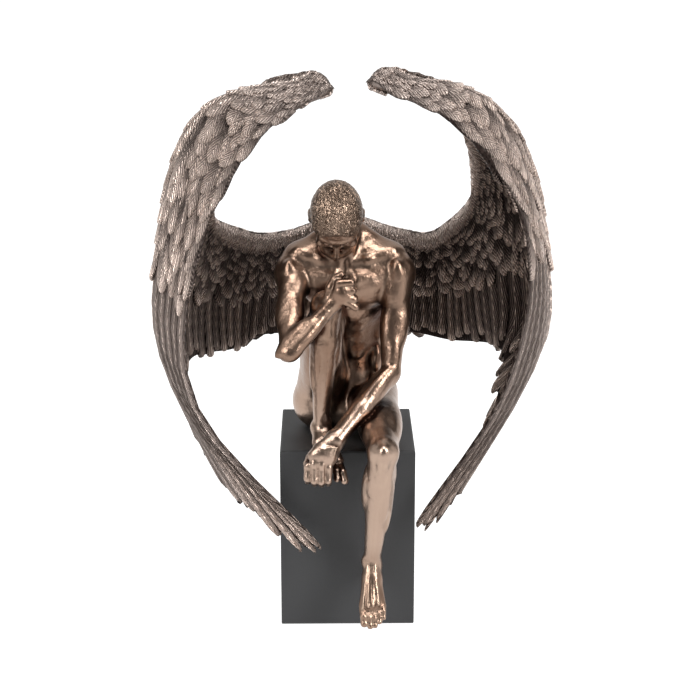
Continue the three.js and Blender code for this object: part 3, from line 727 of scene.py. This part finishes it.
# Each wing has seven lines from the spine to the front edge, each with five marks from the arm to the tip.
# A mark is across and up from the back in thousandths of the height, and forward in thousandths of the reach.
FEATHER_LINES = {
    "right_wing": [
        [[37, -36, 84], [46, -55, 14], [57, -127, -62], [65, -236, -135], [72, -327, -199]],
        [[142, -200, 38], [157, -273, -22], [174, -309, -90], [186, -327, -151], [194, -345, -207]],
        [[233, -218, 37], [250, -255, -35], [260, -273, -107], [264, -273, -173], [262, -255, -236]],
        [[308, -36, 118], [330, -18, 33], [354, 36, -67], [359, 109, -154], [351, 200, -231]],
        [[188, 182, 368], [361, 182, 224], [399, 218, -20], [390, 327, -188], [346, 500, -337]],
        [[76, 327, 416], [299, 400, 348], [402, 509, 56], [397, 655, -185], [226, 900, -498]],
        [[40, 473, 396], [213, 618, 280], [332, 764, 15], [320, 873, -285], [46, 1000, -594]],
    ],
    "left_wing": [
        [[27, -36, 83], [37, -55, 14], [47, -127, -62], [56, -236, -136], [64, -327, -194]],
        [[130, -200, 42], [140, -273, -14], [148, -309, -80], [153, -327, -142], [156, -345, -203]],
        [[211, -218, 42], [226, -255, -18], [234, -273, -87], [237, -273, -153], [238, -255, -216]],
        [[291, -73, 158], [311, -55, 57], [325, 0, -37], [334, 73, -124], [339, 145, -205]],
        [[232, 182, 362], [381, 182, 236], [426, 218, 30], [428, 327, -145], [320, 473, -258]],
        [[92, 327, 423], [304, 400, 362], [411, 509, 102], [410, 655, -167], [246, 909, -460]],
        [[55, 473, 409], [256, 618, 308], [384, 764, 80], [337, 873, -238], [142, 1000, -540]],
    ],
}


def through(marks, share):
    """A smooth curve through the marks on the first axis, read at each share from 0 to 1."""
    ends = (2 * marks[:1] - marks[1:2], marks, 2 * marks[-1:] - marks[-2:-1])
    marks = np.concatenate(ends)
    place = np.clip(share, 0, 1) * (len(marks) - 3)
    start = np.minimum(place.astype(int), len(marks) - 4)
    t = place - start
    weights = (
        -0.5 * t + t**2 - 0.5 * t**3,
        1 - 2.5 * t**2 + 1.5 * t**3,
        0.5 * t + 2 * t**2 - 1.5 * t**3,
        -0.5 * t**2 + 0.5 * t**3,
    )
    index = np.arange(len(share))
    picked = [marks[start + i] if marks.ndim == 2 else marks[start + i, index] for i in range(4)]
    return sum(w[:, None] * p for w, p in zip(weights, picked))


class Blade:
    """The curved sheet inside a wing. u runs from the spine to the front edge, v from the arm to the tip."""

    def __init__(self, name):
        # The inner face of the right wing gets some painted light all over, as it is lit more than that of
        # the left one, which stays in painted shade.
        side, self.inner_painted_light = (-1, 0.30) if name == "right_wing" else (1, 0.0)
        lines = np.array(FEATHER_LINES[name], float)
        self.marks = np.stack(
            [
                BACK[0] + side * lines[..., 0] * WING_HEIGHT / 1000,
                BACK[1] - lines[..., 1] * WING_REACH / 1000,
                BACK[2] + lines[..., 2] * WING_HEIGHT / 1000,
            ],
            axis=-1,
        )
        step = 1e-3
        sitter = np.array([0, -40, 150.0])
        middle, across, down = self.place([0.6, 0.6 + step, 0.6], [0.5, 0.5, 0.5 + step])
        self.inward = np.sign(np.cross(across - middle, down - middle) @ (sitter - middle))
        self.evenly = np.linspace(0, 1, 41)
        rows = [self.place(self.evenly, v) for v in self.evenly]
        self.lengths = sum(np.linalg.norm(b - a, axis=1) for a, b in zip(rows, rows[1:]))

    def inside(self, u, v):
        """A point of the sheet between its edges."""
        columns = [through(self.marks[:, j], u) for j in range(self.marks.shape[1])]
        return through(np.stack(columns), v)

    def place(self, u, v):
        """A point of the sheet. Past an edge the sheet goes straight on."""
        u, v = np.broadcast_arrays(np.asarray(u, float), np.asarray(v, float))
        shape = u.shape
        u, v = u.ravel(), v.ravel()
        step = 0.004
        near_u, near_v = np.clip(u, 0, 1), np.clip(v, 0, 1)
        base = self.inside(near_u, near_v)
        in_u = np.where(near_u > 0.5, near_u - step, near_u + step)
        in_v = np.where(near_v > 0.5, near_v - step, near_v + step)
        slope_u = (base - self.inside(in_u, near_v)) / (near_u - in_u)[:, None]
        slope_v = (base - self.inside(near_u, in_v)) / (near_v - in_v)[:, None]
        out = base + (u - near_u)[:, None] * slope_u + (v - near_v)[:, None] * slope_v
        return out.reshape(*shape, 3)

    def length(self, u):
        """How long the sheet is from the arm to the tip at u, in millimetres."""
        return np.interp(u, self.evenly, self.lengths)

    def half(self, u, v):
        """Half the thickness of the sheet: the arm's round section, thinning to the blade."""
        below_arm = v * self.length(u)
        arm = np.interp(below_arm, [-4, -3.6, -2.2, 0, 2, 7, 14], [0.3, 1.6, 3.2, 3.7, 3.6, 2.2, 0.9])
        return np.maximum(arm, np.interp(v, [0.2, 0.7, 1.0], [0.9, 0.5, 0.35]))

    def laid(self, u, v, height, face):
        """Points that stand height off one face: 1 is the face towards the sitter and -1 the outer one."""
        step = 2e-3
        across = self.place(u + step, v) - self.place(u - step, v)
        down = self.place(u, v + step) - self.place(u, v - step)
        normal = np.cross(across, down)
        normal = normal / np.linalg.norm(normal, axis=-1, keepdims=True) * self.inward
        return self.place(u, v) + face * (self.half(u, v) + height)[..., None] * normal

    def stations(self, v, gap):
        """Values of u that stand about gap apart along the line at v."""
        u = np.linspace(0, 1, 201)
        run = np.linalg.norm(np.diff(self.place(u, v), axis=0), axis=1)
        run = np.concatenate([[0], np.cumsum(run)])
        count = round(run[-1] / gap)
        return np.interp((np.arange(count) + 0.5) / count * run[-1], run, u)


# For each kind of feather: the places of its points across and down it, the share of its length that its
# round tip takes, how far its sides drop in millimetres, and how steeply its barbs run.
ACROSS = {
    "covert": np.array([-1, -0.86, -0.45, 0, 0.45, 0.86, 1]),
    "flight": np.array([-1, -0.84, -0.45, -0.11, 0, 0.11, 0.45, 0.84, 1]),
}
DOWN = {
    "covert": np.array([0, 0.3, 0.58, 0.78, 0.91, 0.98, 1]),
    "flight": np.array([0, 0.1, 0.2, 0.3, 0.4, 0.5, 0.6, 0.7, 0.8, 0.88, 0.94, 0.975, 0.99, 1]),
}
ROUNDING = {"covert": 0.45, "flight": 0.07}
CAMBER = {"covert": 0.90, "flight": 0.45}
SLANT = {"covert": 1.0, "flight": 0.45}
# On the face towards the sitter, 1, and on the outer one, -1: how far apart the rows of feathers stand, in
# millimetres, and how much of the wing's length the coverts lie over.
FLIGHT_GAP = {1: 4.8, -1: 6.4}
COVERT_GAP = {1: 4.4, -1: 4.6}
COVERED = {1: 0.56, -1: 0.58}


def rise(low, high, value):
    """0 up to low and 1 from high, with a smooth way between."""
    share = np.clip((value - low) / (high - low), 0, 1)
    return share * share * (3 - 2 * share)


class Plumage:
    """Collects the feathers of one wing as one mesh, with what the finish needs to know of each point."""

    def __init__(self, blade):
        self.blade = blade
        self.points, self.faces, self.barbs, self.rubbed, self.painted_face_light = [], [], [], [], []
        self.count = 0

    def add(self, points, faces, barb, rubbed, painted_face_light):
        """Adds points, the corners of their faces and each point's place on the barbs, its wear with painted
        shade and light, and the painted light of its face.
        """
        self.points.append(points)
        # A face that names one corner twice, in the middle of a feather's end, is a triangle.
        self.faces += [list(dict.fromkeys(face)) for face in (faces + self.count).tolist()]
        self.barbs.append(barb)
        self.rubbed.append(rubbed)
        self.painted_face_light.append(painted_face_light)
        self.count += len(points)

    def painted_face_light_at(self, u, v, face):
        """Painted light from 0 to 1: lit on the outer face, with painted shade on a band of it and at its
        lower front corner, and in painted shade on the inner face but for its bent tip and along the arm.
        """
        outer = 1 - 0.45 * rise(0.12, 0.26, v) * (1 - rise(0.5, 0.7, v))
        outer = outer - 0.6 * rise(0.84, 0.90, u) * rise(0.80, 0.94, v)
        bent_tip = rise(0.90, 0.97, u) * (1 - rise(0.1, 0.2, v))
        edge = 0.9 * (1 - rise(0.01, 0.07, v))
        inside = np.maximum(np.maximum(bent_tip, edge), self.blade.inner_painted_light)
        return np.where(face < 0, outer, inside)

    def feathers(self, kind, laid, face):
        """Closed feathers that follow the blade.

        Each of laid has its u, its half-width in u, its start and tip as v, how far its tip lifts, how far
        one side leans over the next, how far it bends sideways, and a number that varies its finish.
        """
        u, half_u, start, tip, lift, lean, bend, own = np.array(laid).T[:, :, None, None]
        s, t = np.meshgrid(ACROSS[kind], DOWN[kind])
        rows, columns = s.shape
        centre = columns // 2
        end = np.clip((t - 1 + ROUNDING[kind]) / ROUNDING[kind], 0, 1)
        width = np.interp(t, [0, 0.4, 1], [0.7, 1, 1]) * np.maximum(np.sqrt(1 - end**2), 0.12)
        at_u = u + half_u * (s * width + bend * t**2)
        at_v = start + t * (tip - start)
        shaft = (s == 0) * 1.0
        side = np.abs(s) == 1
        height = lift * (0.1 + 0.9 * t**1.3) - CAMBER[kind] * s**2 + lean * s * (0.4 + 0.6 * t)
        height = height + 0.25 * shaft * (1 - t * 0.5) - 0.9 * side - 0.9 * (t == 1) - 0.15 * (t > 0.96)
        points = self.blade.laid(at_u, at_v, height, face)
        across = np.linalg.norm(points[:, :, -1] - points[:, :, 0], axis=-1)[..., None] / 2 * np.abs(s)
        run = points[:, -1, centre] - points[:, 0, centre]
        along = np.linalg.norm(run, axis=-1)[:, None, None] * t * SLANT[kind] + 50 * own
        # Wear and painted shade: a feather is dark at its root, in painted shade under the one that lies over
        # it, and lighter towards its tip, where the wash is rubbed off; its folded sides are in painted
        # shade. On the inner face the painted shade covers more of each covert.
        if kind == "covert":
            low, rim = (0.25, 0.2) if face < 0 else (0.5, 0.45)
            rubbed = 0.04 + (0.96 - rim) * rise(low, 0.97, t) + rim * rise(0.85, 1.0, t)
            rubbed = rubbed * (1 - 0.7 * side) * (0.8 + 0.4 * own)
        else:
            # Flight feathers: a light shaft and tip where the wash is rubbed off, and painted shade along
            # their edges.
            rubbed = 0.24 + 0.30 * rise(0.8, 1.0, t) + 0.6 * shaft - 0.16 * (np.abs(s) > 0.8)
            rubbed = rubbed * (0.6 + 0.8 * own)
        # Along the arm the inner face is painted lighter: wear and painted light.
        rubbed = np.maximum(rubbed, 0.85 * (1 - rise(0.02, 0.09, at_v)) * (face > 0))
        faces = []
        for i in range(rows - 1):
            a, b = i * columns, (i + 1) * columns
            faces += [[a + j, a + j + 1, b + j + 1, b + j] for j in range(columns - 1)]
            faces.append([a, b, b + columns - 1, a + columns - 1])
        for first, order in ((0, 1), ((rows - 1) * columns, -1)):
            for j in range(centre):
                cap = [first + j, first + columns - 1 - j, first + columns - 2 - j, first + j + 1]
                faces.append(cap[::order])
        faces = np.array(faces)
        if face * self.blade.inward < 0:
            faces = faces[:, ::-1]
        size = rows * columns
        every = (faces[None] + (np.arange(len(laid)) * size)[:, None, None]).reshape(-1, 4)
        barb = np.stack([across, np.broadcast_to(along, across.shape)], -1).reshape(-1, 2)
        painted_face_light = self.painted_face_light_at(at_u, at_v, face)
        self.add(points.reshape(-1, 3), every, barb, rubbed.ravel(), painted_face_light.ravel())

    def core(self):
        """The blade itself, a closed sheet under the feathers."""
        u = np.linspace(0, 1, 90)
        v = np.concatenate([[-0.016, -0.014, -0.009, 0.0, 0.012, 0.03, 0.05], np.linspace(0.08, 0.955, 34)])
        uu, vv = np.meshgrid(u, v)
        # Above the arm's middle, v is turned into the same number of millimetres all along the arm.
        usual_length = 250
        vv = np.where(vv < 0, vv * usual_length / self.blade.length(uu), vv)
        sides = [self.blade.laid(uu, vv, np.full(uu.shape, -0.25), face) for face in (1, -1)]
        rows, columns = uu.shape
        size = rows * columns
        faces = []
        for i in range(rows - 1):
            for j in range(columns - 1):
                a = i * columns + j
                faces.append([a, a + 1, a + columns + 1, a + columns])
                faces.append([size + a, size + a + columns, size + a + columns + 1, size + a + 1])
        for j in range(columns - 1):
            a, b = j, (rows - 1) * columns + j
            faces.append([a, size + a, size + a + 1, a + 1])
            faces.append([b, b + 1, size + b + 1, size + b])
        for i in range(rows - 1):
            a, b = i * columns, i * columns + columns - 1
            faces.append([a, a + columns, size + a + columns, size + a])
            faces.append([b, size + b, size + b + columns, b + columns])
        faces = np.array(faces)
        if self.blade.inward < 0:
            faces = faces[:, ::-1]
        points = np.concatenate([side.reshape(-1, 3) for side in sides])
        barb = np.zeros((len(points), 2))
        barb[:, 1] = np.tile(uu.ravel() * 300, 2)
        painted_face_light = np.concatenate([self.painted_face_light_at(uu, vv, face).ravel() for face in (1, -1)])
        # Along the top of the arm the blade is painted lighter: wear and painted light.
        rubbed = np.where(vv < 0.04, 0.55, 0.0).ravel()
        self.add(points, faces, barb, np.tile(rubbed, 2), painted_face_light)


def dress(name, seed):
    """Lays the feathers of one wing: the flight feathers first and the coverts over their roots."""
    blade = Blade(name)
    plumage = Plumage(blade)
    plumage.core()
    dice = np.random.default_rng(seed)
    for face in (1, -1):
        laid = []
        stations = blade.stations(0.85, FLIGHT_GAP[face])
        for u, width in zip(stations, np.gradient(stations)):
            notch = np.interp(u, [0, 0.6, 0.8, 1], [0.13, 0.11, 0.022, 0.010])
            tip = 1.0 - notch * dice.random() ** 1.5 + 0.42 * (1 - u) * rise(0.86, 0.93, u)
            lift = 0.45 + 0.5 * dice.random()
            wide = width * dice.uniform(0.52, 0.68)
            laid.append((u, wide, 0.36, tip, lift, 0.3 * face, dice.uniform(-0.3, 0.3), dice.random()))
        plumage.feathers("flight", laid, face)
        laid = []
        stations = blade.stations(0.35, COVERT_GAP[face])
        for i, (u, width) in enumerate(zip(stations, np.gradient(stations))):
            length = blade.length(u)
            reach = COVERED[face] * length
            big = np.interp(length, [60, 250], [0.85, 1.6])
            fall = -3.2 + 2.2 * (i % 2) + dice.uniform(-0.5, 0.5)
            while fall < reach:
                share = max(fall, 0) / reach
                size = np.interp(share, [0, 0.3, 1], [5.0, 9.0, 16.0]) * big * dice.uniform(0.8, 1.3)
                wide = width * np.interp(share, [0, 1], [0.62, 0.84]) * dice.uniform(0.75, 1.35)
                lift = np.interp(share, [0, 0.3, 1], [0.7, 1.3, 1.7]) * dice.uniform(0.6, 1.6)
                place = u + dice.uniform(-0.35, 0.35) * width
                start = max(fall - size, -4.2) / length
                tip = (fall + dice.uniform(0.6, 2.4)) / length
                lean = dice.uniform(-0.5, 0.5)
                laid.append((place, wide, start, tip, lift, lean, dice.uniform(-0.9, 0.9), dice.random()))
                fall += np.interp(share, [0, 0.3, 1], [2.8, 4.6, 6.4]) * big
        plumage.feathers("covert", laid, face)
    return plumage


antique = Finish(bpy.data.materials.new("dark_antique_bronze"))
spot = antique.node("ShaderNodeTexCoord", {}, {})["Object"]
barb = antique.node("ShaderNodeUVMap", {"uv_map": "barbs"}, {})["UV"]
parts = antique.node("ShaderNodeSeparateXYZ", {}, {"Vector": barb})
rubbed = antique.node("ShaderNodeAttribute", {"attribute_name": "rubbed"}, {})["Fac"]
painted_face_light = antique.node("ShaderNodeAttribute", {"attribute_name": "painted_face_light"}, {})["Fac"]
cloud = antique.node("ShaderNodeTexNoise", {}, {"Vector": spot, "Scale": 90.0, "Detail": 4.0})["Fac"]
grit = antique.node("ShaderNodeTexNoise", {}, {"Vector": spot, "Scale": 1100.0, "Detail": 3.0})["Fac"]
slant = parts["X"] * 6.0 - parts["Y"] * 2.6 + cloud * 8.0 + grit * 1.6
lines = antique.node("ShaderNodeMath", {"operation": "SINE"}, {0: slant})["Value"] * 0.5 + 0.5
# Lit and shaded copies of the one bronze: where the face is painted in shade its dark is near black and its
# light a warm cream, and where it is painted lit both are a greyer brown.
dark = antique.mix(painted_face_light, (0.024, 0.017, 0.015), (0.100, 0.080, 0.072))
light = antique.mix(painted_face_light, (0.74, 0.585, 0.50), (0.56, 0.465, 0.415))
# The feathers show the light colour where the wash is rubbed off and where light is painted on.
wash_wear_and_light = (rubbed + 0.1) * (lines * 0.85 + grit * 0.7 + cloud * 0.2) - 0.14 + painted_face_light * 0.10
wash_wear_and_light = antique.node("ShaderNodeMath", {"operation": "MAXIMUM"}, {0: wash_wear_and_light, 1: 0.0})["Value"]
shade = antique.mix(wash_wear_and_light, dark, light)
barbs = {"Strength": 1.0, "Distance": 0.0007, "Height": lines * 0.8 + grit * 0.5}
relief = antique.node("ShaderNodeBump", {}, barbs)["Normal"]
metal = antique.node(
    "ShaderNodeBsdfPrincipled",
    {},
    {"Base Color": shade, "Metallic": 1.0, "Roughness": 0.46 - rubbed * 0.12 + grit * 0.08, "Normal": relief},
)["BSDF"]
antique.node("ShaderNodeOutputMaterial", {}, {"Surface": metal})

for name, seed in (("right_wing", 11), ("left_wing", 12)):
    plumage = dress(name, seed)
    wing = piece_of(name + "_feathers", np.concatenate(plumage.points), plumage.faces)
    corners = np.empty(len(wing.data.loops), dtype=np.int32)
    wing.data.loops.foreach_get("vertex_index", corners)
    layer = wing.data.uv_layers.new(name="barbs")
    layer.data.foreach_set("uv", np.concatenate(plumage.barbs)[corners].astype(np.float32).ravel())
    mark(wing, {"rubbed": np.concatenate(plumage.rubbed), "painted_face_light": np.concatenate(plumage.painted_face_light)})
    wing.data.materials.append(antique.owner)
    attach(wing, "root")
    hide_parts(name)
